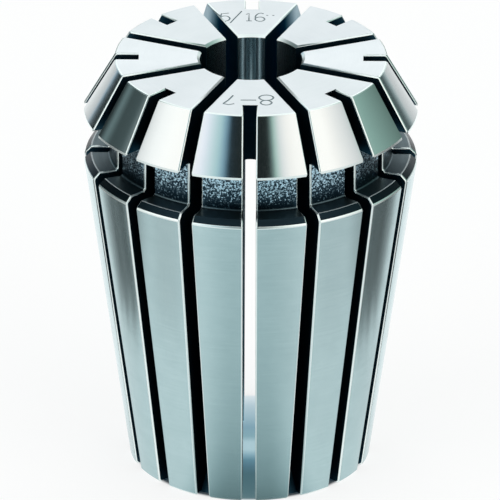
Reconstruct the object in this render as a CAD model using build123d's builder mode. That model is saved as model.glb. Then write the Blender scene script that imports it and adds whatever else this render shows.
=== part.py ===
from build123d import *
import os
from math import hypot, radians, sqrt, tan

# ER collet, 25 size: a slotted steel sleeve that grips a round shank.
# Millimetres, +Z up. The origin is on the axis, in the plane of the rear end.
# The front end, where the tool goes in, is at the top.

# Overall
total_length = 34.0
largest_diameter = 26.0
bore_diameter = 8.0

# Outside profile, from the rear end up
seat_half_angle = 8.0
shoulder_height = 26.0
shoulder_chamfer = 0.5
groove_width = 3.6
groove_diameter = 22.0
groove_corner_facet = 0.15
rim_land = 0.2
nose_half_angle = 30.0

# Slots: as many from each end, set midway between each other
slots_per_end = 8
slot_width = 1.0
saw_diameter = 50.0
saw_clear_of_axis = 1.7
front_notch_depth = 1.85
rear_notch_depth = 0.8

# Edge breaks
slot_edge_break = 0.12
face_edge_break = 0.1
seat_edge_break = 0.12
rear_edge_break = 0.2
front_bore_chamfer = 0.2
rear_bore_chamfer = 0.3

# Radii and heights that follow from these
largest_radius = largest_diameter / 2
bore_radius = bore_diameter / 2
neck_radius = groove_diameter / 2
seat_top = shoulder_height - shoulder_chamfer
rear_radius = largest_radius - seat_top * tan(radians(seat_half_angle))
rim_bottom = shoulder_height + groove_width
rim_top = rim_bottom + rim_land
nose_height = total_length - rim_top
face_radius = largest_radius - nose_height * tan(radians(nose_half_angle))

# The saw: its centre runs parallel to the axis, and stops where its rim leaves
# a notch of the wanted depth in the end face that it does not cut through
saw_radius = saw_diameter / 2
saw_centre_radius = saw_clear_of_axis + saw_radius
front_notch_radius = face_radius - front_notch_depth
rear_notch_radius = rear_radius - rear_notch_depth
rear_slot_stop = total_length - sqrt(saw_radius**2 - (saw_centre_radius - front_notch_radius) ** 2)
front_slot_stop = sqrt(saw_radius**2 - (saw_centre_radius - rear_notch_radius) ** 2)
slot_pitch = 360 / slots_per_end
overrun = 1.0


def middle_radius(edge):
    """Distance from the axis to the middle of an edge."""
    middle = edge @ 0.5
    return hypot(middle.X, middle.Y)


# What the saw takes out from the rear end, up to the stop and out near the front face
with BuildPart() as rear_slot:
    with BuildSketch(Plane.XZ):
        with Locations((saw_centre_radius, rear_slot_stop)):
            Circle(saw_radius)
        with Locations((saw_clear_of_axis, -overrun)):
            Rectangle(saw_radius, rear_slot_stop + overrun, align=Align.MIN)
    extrude(amount=slot_width / 2, both=True)

# What it takes out from the front face, down to the other stop
with BuildPart() as front_slot:
    with BuildSketch(Plane.XZ):
        with Locations((saw_centre_radius, front_slot_stop)):
            Circle(saw_radius)
        with Locations((saw_clear_of_axis, front_slot_stop)):
            Rectangle(saw_radius, total_length - front_slot_stop + overrun, align=Align.MIN)
    extrude(amount=slot_width / 2, both=True)

with BuildPart() as collet:
    # Turned blank: seat cone, shoulder, extraction groove, rim and nose cone round the bore
    with BuildSketch(Plane.XZ) as section:
        with BuildLine():
            Polyline(
                (bore_radius, 0),
                (rear_radius, 0),
                (largest_radius, seat_top),
                (largest_radius - shoulder_chamfer, shoulder_height),
                (neck_radius, shoulder_height),
                (neck_radius, rim_bottom),
                (largest_radius, rim_bottom),
                (largest_radius, rim_top),
                (face_radius, total_length),
                (bore_radius, total_length),
                close=True,
            )
        make_face()
        for corner, size in (
            ((bore_radius, 0), rear_bore_chamfer),
            ((rear_radius, 0), rear_edge_break),
            ((largest_radius, seat_top), seat_edge_break),
            ((neck_radius, shoulder_height), groove_corner_facet),
            ((neck_radius, rim_bottom), groove_corner_facet),
            ((face_radius, total_length), face_edge_break),
            ((bore_radius, total_length), front_bore_chamfer),
        ):
            chamfer(section.vertices().sort_by_distance(corner)[0], size)
    revolve(axis=Axis.Z)

    # Slots
    with PolarLocations(0, slots_per_end):
        add(rear_slot.part, mode=Mode.SUBTRACT)
    with PolarLocations(0, slots_per_end, start_angle=slot_pitch / 2):
        add(front_slot.part, mode=Mode.SUBTRACT)

    # Edge break along every slot mouth, outside and on both end faces
    flat_faces = collet.faces().filter_by(GeomType.PLANE)
    slot_walls = flat_faces.filter_by(lambda face: abs(face.normal_at().Z) < 0.5)
    wall_edges = slot_walls.edges().filter_by(GeomType.CIRCLE, reverse=True)
    bore_mouth_radius = bore_radius + max(front_bore_chamfer, rear_bore_chamfer)
    chamfer(wall_edges.filter_by(lambda edge: middle_radius(edge) > bore_mouth_radius), slot_edge_break)

collet.part.label = "collet"

os.makedirs("parts", exist_ok=True)
export_step(collet.part, "parts/collet.step")
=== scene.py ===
from functools import partial
from math import atan2, cos, hypot, pi, radians, sin

import bmesh
import bpy
from mathutils import Matrix, Vector


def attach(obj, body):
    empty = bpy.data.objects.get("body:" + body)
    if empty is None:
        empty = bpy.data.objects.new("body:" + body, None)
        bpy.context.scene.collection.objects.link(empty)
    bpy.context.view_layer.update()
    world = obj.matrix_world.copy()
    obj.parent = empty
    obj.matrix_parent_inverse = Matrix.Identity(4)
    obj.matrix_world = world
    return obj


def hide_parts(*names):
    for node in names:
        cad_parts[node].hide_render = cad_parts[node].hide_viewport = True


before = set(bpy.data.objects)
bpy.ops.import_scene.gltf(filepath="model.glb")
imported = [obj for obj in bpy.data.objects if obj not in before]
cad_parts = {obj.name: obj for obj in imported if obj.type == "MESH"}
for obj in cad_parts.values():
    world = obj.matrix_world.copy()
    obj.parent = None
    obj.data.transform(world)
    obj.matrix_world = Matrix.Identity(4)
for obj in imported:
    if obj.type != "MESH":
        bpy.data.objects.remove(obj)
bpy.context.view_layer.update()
mm = 0.001
weldMm = 0.0001     # points closer than this are one
smooth = {"interpolation_type": "SMOOTHSTEP"}       # for a Map Range node
colors = {"data_type": "RGBA"}      # for a Mix node, whose colours then go in at 6 and 7 and come out at 2


def toLinear(hexText):  # sRGB hex to the linear colour that Blender's sockets take
    channels = [int(hexText[i:i + 2], 16) / 255 for i in (1, 3, 5)]
    return (*[c / 12.92 if c <= 0.04045 else ((c + 0.055) / 1.055) ** 2.4 for c in channels], 1.0)


def addNode(tree, kind, inputs=(), stops=(), **settings):  # one node, with its values, links, stops and settings
    node = tree.nodes.new("ShaderNode" + kind)
    for name, value in settings.items():
        setattr(node, name, value)
    for key, value in inputs.items() if isinstance(inputs, dict) else enumerate(inputs):
        if isinstance(value, bpy.types.NodeSocket):
            tree.links.new(value, node.inputs[key])
        else:
            node.inputs[key].default_value = value
    if stops:
        elements = node.color_ramp.elements
        while len(elements) < len(stops):
            elements.new(1.0)
        for element, (place, color) in zip(elements, stops):
            element.position, element.color = place, color
    return node.outputs


def addObject(name, data):
    item = bpy.data.objects.new(name, data)
    bpy.context.scene.collection.objects.link(item)
    return item


def addMaterial(name):  # an empty material, and what adds nodes to it
    material = bpy.data.materials.new(name)
    material.use_nodes = True
    material.node_tree.nodes.clear()
    return material, partial(addNode, material.node_tree)


# The camera looks at the collet through a long lens, from across the table
cameraSetup = {
    "lensMm": 919.8,
    "sensorMm": 36,
    "elevation": 26.1,           # degrees above the table
    "turn": 0.42,                # degrees round from straight in front of a slot
    "roll": 0.2,
    "distance": 1.0,             # this and the next two are in metres
    "aim": (-0.000028, 0.0, 0.01729),
    "clip": (0.01, 10),
}


def addCamera(setup):
    camera = addObject("camera", bpy.data.cameras.new("camera"))
    turn, elevation = radians(setup["turn"]), radians(setup["elevation"])
    back = Vector((sin(turn) * cos(elevation), -cos(turn) * cos(elevation), sin(elevation)))
    camera.data.lens, camera.data.sensor_width = setup["lensMm"], setup["sensorMm"]
    camera.data.clip_start, camera.data.clip_end = setup["clip"]
    camera.location = Vector(setup["aim"]) + back * setup["distance"]
    facing = (-back).to_track_quat("-Z", "Y").to_matrix()
    camera.rotation_euler = (facing @ Matrix.Rotation(radians(setup["roll"]), 3, "Z")).to_euler()
    bpy.context.scene.camera = camera


addCamera(cameraSetup)
bpy.context.scene.view_settings.view_transform = "Standard"
print("camera set")

# The light tent as the collet sees it. Places round it are in degrees from the camera's side and grow to the
# right. Levels are brightness, where 1 is a white wall
studioSetup = {
    "ringLevels": (
        (-146, 1.27), (-139, 0.5), (-136, 0.14), (-132, 0.04), (-119, 0.04), (-114, 0.26), (-108, 0.09),
        (-98, 0.11), (-90, 0.35),                                   # dim cloth on the left
        (-82, 1.08), (-73, 1.33), (-64, 1.39), (-52, 1.36), (-37, 1.17), (-24, 0.78),
        (-19, 0.37), (-16, 0.03), (14, 0.02), (16.5, 0.18),         # the gap that the camera looks through
        (19.5, 0.75), (24, 1.02), (29, 1.22), (36, 1.34), (60, 1.38), (79, 0.94),
        (93, 0.55), (110, 0.36), (125, 0.2), (132, 0.1), (137, 0.45), (146, 1.27),   # thicker cloth on the right
    ),
    "ringTints": (
        (-146, "white"), (-138, "blue"), (-130, "teal"), (-98, "teal"), (-84, "white"), (-50, "warm"),
        (-36, "cool"), (-25, "teal"), (-17, "blue"), (-8, "teal"), (14, "teal"), (18, "green"), (24, "white"),
        (30, "warm"), (64, "warm"), (80, "white"), (94, "green"), (120, "green"), (132, "teal"), (146, "white"),
    ),
    "tints": {"white": (1.0, 1.0, 0.99), "warm": (1.05, 1.0, 0.95), "cool": (0.98, 1.0, 1.08),
              "teal": (0.7, 1.0, 1.02), "green": (0.64, 1.0, 0.88), "blue": (0.5, 0.95, 1.3)},
    "topLevel": 1.05,
    "topFrom": (48, 62),         # elevations between which the ring gives way to the plain top
    "backFrom": (147.6, 158.4),  # places between which the shade on the far side begins
    "backLevel": 0.1,            # the level in that shade
    "backRise": (8, 23),         # elevations between which it ends
}


def addStudio(setup):
    world = bpy.data.worlds.new("lightTent")
    bpy.context.scene.world = world
    world.use_nodes = True
    world.node_tree.nodes.clear()
    add = partial(addNode, world.node_tree)

    axes = add("SeparateXYZ", [add("TexCoord")["Generated"]])
    toCamera = add("Math", [axes["Y"], -1.0], operation="MULTIPLY")[0]
    turn = add("Math", [axes["X"], toCamera], operation="ARCTAN2")[0]
    around = add("MapRange", [turn, -pi, pi, 0, 1])[0]
    rise = add("Math", [axes["Z"]], operation="ARCSINE")[0]
    above = add("MapRange", [rise, -pi / 2, pi / 2, -90, 90])[0]

    # A ramp's colours stop at 1, so each ramp holds half of its values, and the strength makes up for both
    levels = [(at / 360 + 0.5, (level / 2, level / 2, level / 2, 1)) for at, level in setup["ringLevels"]]
    tints = [(at / 360 + 0.5, setup["tints"][name]) for at, name in setup["ringTints"]]
    tints = [(at, (red / 2, green / 2, blue / 2, 1)) for at, (red, green, blue) in tints]
    level = add("ValToRGB", [around], levels)[0]
    tint = add("ValToRGB", [around], tints)[0]
    ring = add("VectorMath", [level, tint], operation="MULTIPLY")[0]
    top = setup["topLevel"] / 4
    high = add("MapRange", [above, *setup["topFrom"]], **smooth)[0]
    mixed = add("Mix", {0: high, 6: ring, 7: (top, top, top, 1)}, **colors)[2]

    aside = add("Math", [turn], operation="ABSOLUTE")[0]
    far = add("MapRange", [aside, *[radians(at) for at in setup["backFrom"]]], **smooth)[0]
    loss = add("MapRange", [above, *setup["backRise"], setup["backLevel"] - 1, 0], **smooth)[0]
    dim = add("Math", [far, loss, 1.0], operation="MULTIPLY_ADD")[0]
    strength = add("Math", [dim, 4.0], operation="MULTIPLY")[0]
    background = add("Background", {"Color": mixed, "Strength": strength})[0]
    add("OutputWorld", {"Surface": background})


addStudio(studioSetup)

# A sheet of white paper. The camera sees it even; in the metal it has painted shade, painted light and painted
# dark strips.
# Distances are in millimetres, and angles in degrees from the camera's side
tableSetup = {
    "radius": 700,
    "segments": 96,
    "drop": 0.02,                # just under the collet's rear face
    "paperHex": "#f4f6f6",
    "glow": 1.06,
    "evenShare": 0.75,           # how much of the paper is that even white; the rest takes the collet's shadow
    # painted shade: in the metal the paper's glow falls off with distance
    "paintedFarLevels": ((0, 1.07), (130, 1.07), (210, 0.82), (280, 0.69), (380, 0.59), (700, 0.5)),
    # painted shade on the paper in front of the collet, deepest close to it, seen only in the metal and tinted by
    # shadeHex
    "paintedFrontShade": {"between": (40, 10), "even": 0.2, "near": 0.42, "nearFrom": 12, "reach": 8},
    "shadeHex": "#b4e8f0",       # tint of that shade
    # painted light: in the metal the paper is brighter towards the back at the sides
    "paintedBackLift": {"between": (95, 125), "level": 1.15},
    # Painted light and shade under the collet, where its open slots let light in, by distance behind its axis
    "paintedUnderRadius": (8.8, 9.25),
    "paintedUnderWidth": (1.0, 2.2),
    "paintedUnderHex": "#20303a",
    "paintedUnderHexes": (
        (-9.3, "#5c7f86"), (-4.6, "#4d737e"), (-3.3, "#567f90"), (-2.2, "#6694a6"), (-1.4, "#8cb6c6"),
        (-0.4, "#b6d8e2"), (0.9, "#b6d8e2"), (1.9, "#8fb8c4"), (3.5, "#8ab2c3"), (5.4, "#abcbd8"),
        (7.2, "#c1dae5"), (8.3, "#d9ebf3"), (9.6, "#eef8fc"),
    ),
    # Painted dark strips on either side, seen only in the metal, that fan out from a corner close to the collet.
    # A strip's level is how much of the paper's brightness it leaves, and near is where it starts
    "paintedStripCorner": (11.2, -6.5),
    "paintedStripEnd": 240,
    "nearSoft": 1,
    "endSoft": 9,
    "leftPaintedStrips": (
        {"from": 101, "to": 113, "soft": 2, "near": 18, "level": 0.08},
        {"from": 113, "to": 116, "soft": 1, "near": 18, "level": 0.2},
        {"from": 116, "to": 125, "soft": 2, "near": 20, "level": 0.06},
        {"from": 125, "to": 133, "soft": 3, "near": 22, "level": 0.3},
        {"from": 80, "to": 101, "soft": 10, "near": 23, "level": 0.4},
        {"from": 35, "to": 75, "soft": 15, "near": 16, "level": 0.72},
    ),
    "rightPaintedStrips": (
        {"from": 98, "to": 109, "soft": 2, "near": 16, "level": 0.1},
        {"from": 109, "to": 112, "soft": 1, "near": 17, "level": 0.22},
        {"from": 112, "to": 120, "soft": 2, "near": 18, "level": 0.04},
        {"from": 120, "to": 130, "soft": 3, "near": 21, "level": 0.25},
        {"from": 76, "to": 98, "soft": 10, "near": 22, "level": 0.6},
        {"from": 35, "to": 75, "soft": 15, "near": 16, "level": 0.86},
        {"from": 0, "to": 150, "soft": 20, "near": 2, "level": 0.86},
    ),
}


def addTable(setup):
    mesh = bpy.data.meshes.new("table")
    disc = bmesh.new()
    bmesh.ops.create_circle(disc, cap_ends=True, radius=setup["radius"] * mm, segments=setup["segments"],
                            matrix=Matrix.Translation((0, 0, -setup["drop"] * mm)))
    disc.to_mesh(mesh)
    disc.free()
    # the paper's glow carries painted shade, painted light and painted dark strips where the metal sees it
    material, add = addMaterial("paperWithPaintedShade")  # an even white sheet that takes a soft shadow
    spot = add("VectorMath", {0: add("TexCoord")["Object"], "Scale": 1 / mm}, operation="SCALE")[0]

    def bearing(x, y, side):  # degrees to one side of the camera, and distance, round a point of the table
        offset = add("VectorMath", [spot, (x * side, y, 0)], operation="SUBTRACT")[0]
        axes = add("SeparateXYZ", [offset])
        outward = add("Math", [axes["X"], side], operation="MULTIPLY")[0]
        toCamera = add("Math", [axes["Y"], -1.0], operation="MULTIPLY")[0]
        turn = add("Math", [outward, toCamera], operation="ARCTAN2")[0]
        angle = add("MapRange", [turn, -pi, pi, -180, 180])[0]
        return angle, add("VectorMath", [offset], operation="LENGTH")["Value"]

    # How the metal sees the paper, with painted shade that deepens with distance. This ramp too holds half of
    # each level
    angle, distance = bearing(0, 0, 1)
    aside = add("Math", [angle], operation="ABSOLUTE")[0]
    span = setup["paintedFarLevels"][-1][0]
    levels = [(at / span, (level / 2, level / 2, level / 2, 1)) for at, level in setup["paintedFarLevels"]]
    level = add("ValToRGB", [add("MapRange", [distance, 0, span])[0]], levels)[0]
    level = add("Math", [level, 2.0], operation="MULTIPLY")[0]
    # painted shade in front of the collet
    paintedShade = setup["paintedFrontShade"]
    closer = add("Math", [paintedShade["nearFrom"], distance], operation="SUBTRACT")[0]
    closer = add("Math", [closer, paintedShade["reach"]], operation="DIVIDE")[0]
    close = add("Math", [closer], operation="EXPONENT")[0]
    depth = add("Math", [close, paintedShade["near"], paintedShade["even"]], operation="MULTIPLY_ADD")[0]
    paintedShadeAhead = add("MapRange", [aside, *paintedShade["between"]], **smooth)[0]
    paintedShadeAhead = add("Math", [paintedShadeAhead, depth], operation="MULTIPLY")[0]
    lightLeftByPaintedShade = add("Math", [1.0, paintedShadeAhead], operation="SUBTRACT")[0]
    level = add("Math", [level, lightLeftByPaintedShade], operation="MULTIPLY")[0]
    # painted light towards the back at the sides
    paintedLift = add("MapRange", [aside, *setup["paintedBackLift"]["between"], 1, setup["paintedBackLift"]["level"]], **smooth)[0]
    level = add("Math", [level, paintedLift], operation="MULTIPLY")[0]

    # painted dark strips in what the metal sees of the paper
    paintedStripCover = 0.0
    for side, paintedStrips in ((-1, setup["leftPaintedStrips"]), (1, setup["rightPaintedStrips"])):
        angle, away = bearing(*setup["paintedStripCorner"], side)
        end = add("MapRange", [away, setup["paintedStripEnd"] + setup["endSoft"], setup["paintedStripEnd"]], **smooth)[0]
        for paintedStrip in paintedStrips:
            soft, nearSoft = paintedStrip["soft"], setup["nearSoft"]
            start = add("MapRange", [angle, paintedStrip["from"] - soft, paintedStrip["from"] + soft], **smooth)[0]
            stop = add("MapRange", [angle, paintedStrip["to"] + soft, paintedStrip["to"] - soft], **smooth)[0]
            near = add("MapRange", [away, paintedStrip["near"] - nearSoft, paintedStrip["near"] + nearSoft], **smooth)[0]
            paintedStripPart = add("Math", [start, stop], operation="MULTIPLY")[0]
            paintedStripPart = add("Math", [paintedStripPart, near], operation="MULTIPLY")[0]
            paintedStripPart = add("Math", [paintedStripPart, end], operation="MULTIPLY")[0]
            lightLeftByPaintedShade = add("Math", [paintedStripPart, paintedStrip["level"] - 1, 1.0], operation="MULTIPLY_ADD")[0]
            level = add("Math", [level, lightLeftByPaintedShade], operation="MULTIPLY")[0]
            paintedStripCover = add("Math", [paintedStripCover, paintedStripPart], operation="MAXIMUM")[0]

    # painted light and shade on the paper under the collet, seen through its slots and bore
    axes = add("SeparateXYZ", [spot])
    first, last = setup["paintedUnderHexes"][0][0], setup["paintedUnderHexes"][-1][0]
    stops = [((at - first) / (last - first), toLinear(text)) for at, text in setup["paintedUnderHexes"]]
    paintedUnder = add("ValToRGB", [add("MapRange", [axes["Y"], first, last])[0]], stops)[0]
    sideways = add("Math", [axes["X"]], operation="ABSOLUTE")[0]
    paintedUnderBeside = add("MapRange", [sideways, *setup["paintedUnderWidth"]], **smooth)[0]
    paintedUnder = add("Mix", {0: paintedUnderBeside, 6: paintedUnder, 7: toLinear(setup["paintedUnderHex"])}, **colors)[2]

    path = add("LightPath")
    level = add("Mix", {0: path["Is Camera Ray"], 2: level, 3: 1.0})[0]
    # the painted shade in front is tinted where the metal sees it
    paintedShadeSeen = add("Math", [paintedShadeAhead, path["Is Glossy Ray"]], operation="MULTIPLY")[0]
    tint = add("Mix", {0: paintedShadeSeen, 6: (1, 1, 1, 1), 7: toLinear(setup["shadeHex"])}, **colors)[2]
    outsidePaintedUnder = add("MapRange", [distance, *setup["paintedUnderRadius"]], **smooth)[0]
    color = add("Mix", {0: outsidePaintedUnder, 6: paintedUnder, 7: tint}, **colors)[2]
    strength = add("Math", [level, setup["glow"]], operation="MULTIPLY")[0]
    light = add("Emission", {"Color": color, "Strength": strength})[0]
    paper = add("BsdfDiffuse", {"Color": toLinear(setup["paperHex"])})[0]
    seen = add("Math", [path["Is Camera Ray"], path["Is Glossy Ray"]], operation="MAXIMUM")[0]
    seen = add("Math", [seen, path["Is Transmission Ray"]], operation="MAXIMUM")[0]
    share = add("Math", [seen, setup["evenShare"]], operation="MULTIPLY")[0]
    paintedStripCover = add("Math", [paintedStripCover, path["Is Glossy Ray"]], operation="MULTIPLY")[0]
    share = add("Math", [share, paintedStripCover], operation="MAXIMUM")[0]
    both = add("MixShader", {0: share, 1: paper, 2: light})[0]
    add("OutputMaterial", {"Surface": both})
    mesh.materials.append(material)
    addObject("table", mesh)


addTable(tableSetup)
print("light tent and table set")

# Finishes. Each is steel with the surface that its last operation left. Turned lines run round the axis, lineMm
# apart: real ones are several times closer, too fine to show, so they are drawn as coarse as they need to be.
# aniso draws reflections out along the profile, and lump is how much the surface is bumped. Part of a finish can
# carry a painted highlight, paler and duller: each pair there says where that starts and where it is full, by
# radius, by height, or by how far to the side or the back, as a share of the radius. Distances are in millimetres
finishes = {
    # bright, almost white, with a faint sweep round the bore
    "lappedSteelFace": {
        "hex": "#e6eef2", "shadeHex": "#dde6ea", "rough": 0.36, "swing": 0.03,
        "aniso": 0.8, "lineMm": 0.09, "lump": 0.02,
    },
    # mirror-like panels that go from white to black as the tent turns
    "polishedSteelNose": {
        "hex": "#d9dfe0", "shadeHex": "#d3dadb", "rough": 0.12, "swing": 0.02,
        "aniso": 0.7, "lineMm": 0.08, "lump": 0.015,
    },
    # a cool satin grey with upright streaks at the sides
    "groundSteelSeat": {
        "hex": "#b9d1d4", "shadeHex": "#a3bec1", "rough": 0.19, "swing": 0.02,
        "aniso": 0.88, "lineMm": 0.08, "lump": 0.03,
    },
    # dark, with thin bright upright lines
    "honedSteelBore": {
        "hex": "#b9d0d6", "shadeHex": "#859ea8", "rough": 0.19, "swing": 0.02,
        "aniso": 0.9, "lineMm": 0.08, "lump": 0.02,
    },
    # fine pale lines along every edge
    "burnishedSteelEdge": {
        "hex": "#f0fbfa", "shadeHex": "#e9f6f5", "rough": 0.3, "swing": 0.03,
        "lineMm": 0.15, "lump": 0.02,
    },
    # near black, a little blue where light reaches in, and with a pale painted highlight where the far slots open
    # in the face
    "sawnSteelSlot": {
        "hex": "#345a6c", "shadeHex": "#1e3947", "edgeHex": "#7f97a3", "rough": 0.42, "swing": 0.05,
        "lineMm": 0.15, "lump": 0.05,
        "paintedHighlight": {"hex": "#cfdfe6", "rough": 0.3,
                   "radius": (7.9, 10.3), "height": (29.4, 31), "back": (0.78, 0.9)},
    },
    # a dark step, with a pale painted highlight along its outer corner at the sides
    "blackenedSteelLedge": {
        "hex": "#5a6c72", "shadeHex": "#46575d", "rough": 0.34, "swing": 0.06,
        "aniso": 0.3, "lineMm": 0.12, "lump": 0.05,
        "paintedHighlight": {"hex": "#e2eaec", "rough": 0.75,
                   "radius": (12.36, 12.42), "side": (0.3, 0.42)},
    },
    # the slope below it: the same blackened steel, painted darker as shade
    "blackenedSteelChamferPaintedShade": {
        "hex": "#22323a", "shadeHex": "#172329", "rough": 0.34, "swing": 0.06,
        "aniso": 0.3, "lineMm": 0.12, "lump": 0.05,
    },
    # pale specks on black, fewer towards the foot of the groove as painted shade
    "scaledSteelNeck": {
        "hex": "#b6daea", "shadeHex": "#1f323d", "rough": 0.24, "swing": 0.06,
        "lineMm": 0.13, "lump": 0.25,
        "speck": {"mm": 0.15, "between": (0.475, 0.575), "paintedFootShade": 0.12, "height": (26.5, 27.9)},
    },
    # soft grey strokes
    "etchedSteelMark": {
        "hex": "#8d9ca1", "shadeHex": "#788a90", "rough": 0.5, "swing": 0.03,
        "lineMm": 0.1, "lump": 0.03,
    },
}
grainSetup = {
    "cloudMm": 1.6,              # size of the faint clouding on every finish
    "cloudShare": 0.5,
    "stretch": 4,                # patches along a turned line for each radian, so that lines run long
    "noiseSpan": (0.3, 0.7),     # nearly all of the noise lies between these
    "lumpMm": 0.02,              # height of the bumps where lump is 1
}


def steelMaterial(name, look, grain):
    material, add = addMaterial(name)
    spot = add("VectorMath", {0: add("TexCoord")["Object"], "Scale": 1 / mm}, operation="SCALE")[0]
    axes = add("SeparateXYZ", [spot])
    flat = add("CombineXYZ", [axes["X"], axes["Y"]])[0]
    radius = add("VectorMath", [flat], operation="LENGTH")["Value"]
    ways = add("SeparateXYZ", [add("VectorMath", [flat], operation="NORMALIZE")["Vector"]])

    fine, stretch = 1 / look["lineMm"], grain["stretch"]
    drawn = add("CombineXYZ", [ways["X"], ways["Y"], axes["Z"]])[0]
    drawn = add("VectorMath", [drawn, (stretch, stretch, fine)], operation="MULTIPLY")[0]
    depth = add("Math", [radius, fine], operation="MULTIPLY")[0]
    lines = add("TexNoise", {"Vector": drawn, "W": depth, "Scale": 1.0, "Detail": 2.0}, noise_dimensions="4D")[0]
    cloud = add("TexNoise", {"Vector": spot, "Scale": 1 / grain["cloudMm"], "Detail": 4.0})[0]
    mixed = add("Mix", {0: grain["cloudShare"], 2: lines, 3: cloud})[0]
    height = lines
    if "speck" in look:
        speck = look["speck"]
        specks = add("TexNoise", {"Vector": spot, "Scale": 1 / speck["mm"], "Detail": 3.0, "Roughness": 0.7})[0]
        # painted shade: fewer specks towards the foot of the groove
        paintedFootShade = add("MapRange", [axes["Z"], *speck["height"], speck["paintedFootShade"], 0])[0]
        mixed = add("Math", [specks, paintedFootShade], operation="SUBTRACT")[0]
        mixed = add("MapRange", [mixed, *speck["between"]])[0]
        height = specks
    color = add("Mix", {0: mixed, 6: toLinear(look["shadeHex"]), 7: toLinear(look["hex"])}, **colors)[2]
    low, high = look["rough"] - look["swing"], look["rough"] + look["swing"]
    rough = add("MapRange", [mixed, *grain["noiseSpan"], high, low])[0]
    # painted highlight: a paler, duller band where its masks all meet
    if "paintedHighlight" in look:
        paintedHighlight, paintedHighlightShare = look["paintedHighlight"], 1.0
        side = add("Math", [ways["X"]], operation="ABSOLUTE")[0]
        for band, value in {"radius": radius, "height": axes["Z"], "side": side, "back": ways["Y"]}.items():
            if band in paintedHighlight:
                share = add("MapRange", [value, *paintedHighlight[band]])[0]
                paintedHighlightShare = add("Math", [paintedHighlightShare, share], operation="MULTIPLY")[0]
        color = add("Mix", {0: paintedHighlightShare, 6: color, 7: toLinear(paintedHighlight["hex"])}, **colors)[2]
        paintedHighlightRough = add("Math", [paintedHighlightShare, paintedHighlight["rough"]], operation="MULTIPLY")[0]
        rough = add("Math", [rough, paintedHighlightRough], operation="MAXIMUM")[0]

    bump = add("Bump", {"Strength": look["lump"], "Distance": grain["lumpMm"] * mm, "Height": height})[0]
    inputs = {"Base Color": color, "Metallic": 1.0, "Roughness": rough, "Normal": bump}
    if "edgeHex" in look:
        inputs["Specular Tint"] = toLinear(look["edgeHex"])
    if "aniso" in look:
        inputs["Tangent"] = add("Tangent", direction_type="RADIAL", axis="Z")[0]
        inputs["Anisotropic"] = look["aniso"]
        inputs["Anisotropic Rotation"] = 0.25  # a quarter turn, so that it runs along the profile
    add("OutputMaterial", {"Surface": add("BsdfPrincipled", inputs)[0]})
    return material


materials = {name: steelMaterial(name, look, grainSetup) for name, look in finishes.items()}
print("finishes made")

# The turned profile in millimetres, as (radius, height) from the front of the bore down the outside and back
# to it, with the finish of the stretch that follows each point
profile = (
    ((4.0, 33.8), "burnishedSteelEdge"),
    ((4.2, 34.0), "lappedSteelFace"),
    ((10.487, 34.0), "softEdge"),
    ((10.637, 33.913), "polishedSteelNose"),
    ((13.0, 29.8), "burnishedSteelEdge"),
    ((13.0, 29.6), "sawnSteelSlot"),
    ((11.15, 29.6), "sawnSteelSlot"),
    ((11.0, 29.45), "scaledSteelNeck"),
    ((11.0, 26.15), "softNeck"),
    ((11.15, 26.0), "blackenedSteelLedge"),
    ((12.5, 26.0), "blackenedSteelChamferPaintedShade"),
    ((12.915, 25.585), "softEdge"),
    ((12.983, 25.381), "groundSteelSeat"),
    ((9.444, 0.198), "softEdge"),
    ((9.216, 0.0), "lappedSteelFace"),
    ((4.3, 0.0), "burnishedSteelEdge"),
    ((4.0, 0.3), "honedSteelBore"),
    ((4.0, 33.8), None),
)
softFinish = {"softEdge": "burnishedSteelEdge", "softNeck": "blackenedSteelLedge"}  # edges rubbed round
faceHeight = 34.0
slotPitch = radians(22.5)

# Strokes of the size marks, in millimetres from the middle of each character. Two or three points make
# straight strokes, more make a smooth one
glyphs = {
    "5": (
        [(0.32, 0.74), (-0.26, 0.62), (-0.3, 0.06)],
        [(-0.3, 0.06), (0.05, 0.2), (0.36, -0.08), (0.34, -0.52), (0.02, -0.76), (-0.32, -0.66)],
    ),
    "/": ([(-0.44, -1.1), (0.44, 1.1)],),
    "1": ([(-0.2, 0.5), (0.02, 0.74), (0.02, -0.66)], [(-0.2, -0.68), (0.24, -0.68)]),
    "6": (
        [(0.3, 0.64), (0.04, 0.76), (-0.28, 0.36), (-0.36, -0.1)],
        [(-0.36, -0.3), (-0.06, -0.74), (0.3, -0.6), (0.32, -0.14), (0.0, 0.04), (-0.36, -0.3)],
    ),
    '"': ([(-0.32, 0.36), (-0.16, 0.36)], [(0.16, 0.36), (0.32, 0.36)]),
    "8": (
        [(0, 0.04), (0.34, 0.22), (0.4, 0.6), (0, 0.86), (-0.4, 0.6), (-0.34, 0.22), (0, 0.04)],
        [(0, 0.04), (0.44, -0.16), (0.52, -0.6), (0, -0.92), (-0.52, -0.6), (-0.44, -0.16), (0, 0.04)],
    ),
    "-": ([(-0.6, 0), (0.6, 0)],),
    "7": ([(-0.42, 0.66), (0.02, 0.84), (0.44, 0.66)], [(0.44, 0.66), (0.02, 0.0), (-0.32, -0.82)]),
}
# A line of marks is read from the camera's side where facing is 1, and from the far side where it is -1. It lies
# that far behind the axis, and each character has its place along it
markSetup = {
    "depthMm": 0.05,
    "rings": 1,                  # how finely the strokes are rounded, across and along
    "steps": 4,
    "lines": (
        {"facing": 1, "strokeMm": 0.14, "behind": 7.28,
         "marks": (("5", -2.12), ("/", -1.24), ("1", -0.24), ("6", 0.62), ('"', 1.44))},
        {"facing": -1, "strokeMm": 0.2, "behind": -7.82, "marks": (("8", -1.24), ("-", 0.14), ("7", 1.64))},
    ),
}


def evaluated(item):  # a mesh of the object as it is with its modifiers
    bpy.context.view_layer.update()
    return bpy.data.meshes.new_from_object(item.evaluated_get(bpy.context.evaluated_depsgraph_get()))


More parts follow.
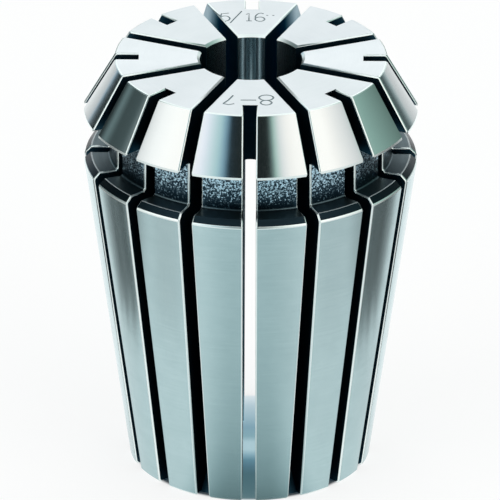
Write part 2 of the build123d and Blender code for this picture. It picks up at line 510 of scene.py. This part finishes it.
def strokeCutter(name, points, across, line, setup):  # a round bar along a stroke, in millimetres
    curve = bpy.data.curves.new(name, "CURVE")
    curve.dimensions = "3D"
    curve.bevel_depth = line["strokeMm"] / 2
    curve.bevel_resolution, curve.resolution_u = setup["rings"], setup["steps"]
    curve.use_fill_caps = True
    straight = len(points) < 4
    closed = not straight and points[0] == points[-1]
    knots = points[:-1] if closed else points
    spline = curve.splines.new("BEZIER")
    spline.bezier_points.add(len(knots) - 1)
    spline.use_cyclic_u = closed
    middle = faceHeight + line["strokeMm"] / 2 - setup["depthMm"]
    for knot, (x, y) in zip(spline.bezier_points, knots):
        knot.co = ((across + x) * line["facing"], line["behind"] + y * line["facing"], middle)
        knot.handle_left_type = knot.handle_right_type = "VECTOR" if straight else "AUTO"
    holder = addObject(name, curve)
    mesh = evaluated(holder)
    bpy.data.objects.remove(holder)
    bar = bmesh.new()
    bar.from_mesh(mesh)
    bmesh.ops.remove_doubles(bar, verts=bar.verts, dist=weldMm)
    bmesh.ops.recalc_face_normals(bar, faces=bar.faces)
    bar.to_mesh(mesh)
    bar.free()
    return mesh


def engrave(body, setup):  # cuts every stroke into the front face; cut surfaces get the second material
    strokes = [(line, across, stroke) for line in setup["lines"] for sign, across in line["marks"]
               for stroke in glyphs[sign]]
    body.data.transform(Matrix.Scale(1 / mm, 4))
    for number, (line, across, stroke) in enumerate(strokes):
        mesh = strokeCutter(f"stroke{number}", stroke, across, line, setup)
        mesh.materials.clear()
        for material in body.data.materials:
            mesh.materials.append(material)
        for face in mesh.polygons:
            face.material_index = 1
        cutter = addObject(f"cutter{number}", mesh)
        cut = body.modifiers.new("cut", "BOOLEAN")
        cut.operation, cut.solver, cut.object = "DIFFERENCE", "EXACT", cutter
        cut.material_mode = "INDEX"
        after = evaluated(body)
        body.modifiers.clear()
        body.data = after
        bpy.data.objects.remove(cutter)
    body.data.transform(Matrix.Scale(mm, 4))
    return len(strokes)


# How faces are told apart. Facings are cosines, from 0 for side on to 1 for square on
faceSetup = {
    "turnedAcross": 0.25,        # a turned face looks round the axis by this at most
    "turnedFacing": 0.985,       # and this squarely off the profile
    "turnedOffMm": 0.04,         # its middle is this close to it
    "turnedPast": 0.05,          # and this little past the ends of its stretch, as a share of the stretch
    "wallFacing": 0.95,          # a slot's wall faces this squarely across the slot
    "breakFacing": 0.3,          # and an edge break this much; what is left is the arc that the saw leaves
    "wallShare": 0.2,            # how far an edge break's corners lean towards the wall beside them
    "weakest": 0.1,              # a corner whose surfaces nearly cancel out keeps its face's own normal
}


def findStretch(centre, normal, setup):  # which stretch of the turned profile a face lies on, or None
    x, y, z = centre / mm
    r = hypot(x, y)
    outward = Vector((x / r, y / r))
    across = abs(normal.x * outward.y - normal.y * outward.x)
    along = normal.x * outward.x + normal.y * outward.y
    if across > setup["turnedAcross"]:
        return None
    for index, ((start, _), (end, _)) in enumerate(zip(profile, profile[1:])):
        run, rise = end[0] - start[0], end[1] - start[1]
        length = hypot(run, rise)
        facing = (-rise / length, run / length)
        if along * facing[0] + normal.z * facing[1] < setup["turnedFacing"]:
            continue
        offset = (r - start[0]) * facing[0] + (z - start[1]) * facing[1]
        share = ((r - start[0]) * run + (z - start[1]) * rise) / length ** 2
        if abs(offset) < setup["turnedOffMm"] and -setup["turnedPast"] < share < 1 + setup["turnedPast"]:
            return index
    return None


def turnedNormal(stretch, point):  # the way that the true profile faces at a point on it
    start, end = profile[stretch][0], profile[stretch + 1][0]
    length = hypot(end[0] - start[0], end[1] - start[1])
    out, up = -(end[1] - start[1]) / length, (end[0] - start[0]) / length
    r = hypot(point.x, point.y)
    return Vector((out * point.x / r, out * point.y / r, up))


def sortFace(face, cut, setup):  # the kind of a face, with its stretch of the profile if it is turned
    if cut:
        return "mark", None
    stretch = findStretch(face.center, face.normal, setup)
    if stretch is not None:
        return "turned", stretch
    slot = round(atan2(face.center.y, face.center.x) / slotPitch) * slotPitch
    across = abs(-face.normal.x * sin(slot) + face.normal.y * cos(slot))
    if across > setup["wallFacing"]:
        return "wall", None
    return "break" if across > setup["breakFacing"] else "sawArc", None


def dress(body, cuts, setup):  # gives faces their finish, turned ones the profile's normals, and edges round ones
    mesh = body.data
    names = list(finishes)
    mesh.materials.clear()
    for name in names:
        mesh.materials.append(materials[name])
    kinds = [sortFace(face, cut, setup) for face, cut in zip(mesh.polygons, cuts)]
    normals = [face.normal.copy() for face in mesh.polygons]
    around = [[] for _ in mesh.vertices]
    for face in mesh.polygons:
        for vertex in face.vertices:
            around[vertex].append(face.index)
    kindFinish = {"mark": "etchedSteelMark", "wall": "sawnSteelSlot", "sawArc": "sawnSteelSlot",
                  "break": "burnishedSteelEdge"}
    cornerNormals = [None] * len(mesh.loops)
    for face in mesh.polygons:
        kind, stretch = kinds[face.index]
        finish = kindFinish.get(kind) or profile[stretch][1]
        soft = kind == "break" or finish in softFinish
        face.material_index = names.index(softFinish.get(finish, finish))
        face.use_smooth = True
        for corner in face.loop_indices:
            vertex = mesh.loops[corner].vertex_index
            point = mesh.vertices[vertex].co
            normal = normals[face.index]
            if soft:  # leans towards the surfaces that the edge joins
                total = Vector((0, 0, 0))
                for other in around[vertex]:
                    otherKind, otherStretch = kinds[other]
                    if otherKind == "turned" and profile[otherStretch][1] not in softFinish:
                        total += turnedNormal(otherStretch, point)
                    elif otherKind == "wall" and kind == "break":
                        total += normals[face.index] + normals[other] * setup["wallShare"]
                if total.length > setup["weakest"]:
                    normal = total.normalized()
            elif kind == "turned":
                normal = turnedNormal(stretch, point)
            cornerNormals[corner] = tuple(normal)
    mesh.normals_split_custom_set(cornerNormals)
    mesh.update()


def addCollet(source):
    body = addObject("colletBody", source.data.copy())
    mesh = body.data
    mesh.materials.clear()
    for name in ("lappedSteelFace", "etchedSteelMark"):  # enough to tell the marks apart once they are cut
        mesh.materials.append(materials[name])
    welded = bmesh.new()
    welded.from_mesh(mesh)
    bmesh.ops.remove_doubles(welded, verts=welded.verts, dist=weldMm * mm)
    for face in welded.faces:
        face.material_index = 0
    loose = sum(not edge.is_manifold for edge in welded.edges)
    welded.to_mesh(mesh)
    welded.free()
    if "custom_normal" in mesh.attributes:
        mesh.attributes.remove(mesh.attributes["custom_normal"])
    print("collet mesh", len(mesh.polygons), "faces,", loose, "open edges")
    strokes = engrave(body, markSetup)
    cuts = [face.material_index == 1 for face in body.data.polygons]
    print("marks cut with", strokes, "strokes,", sum(cuts), "faces of", len(cuts))
    dress(body, cuts, faceSetup)
    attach(body, "root")
    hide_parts("collet")
    print("collet dressed")


addCollet(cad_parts["collet"])
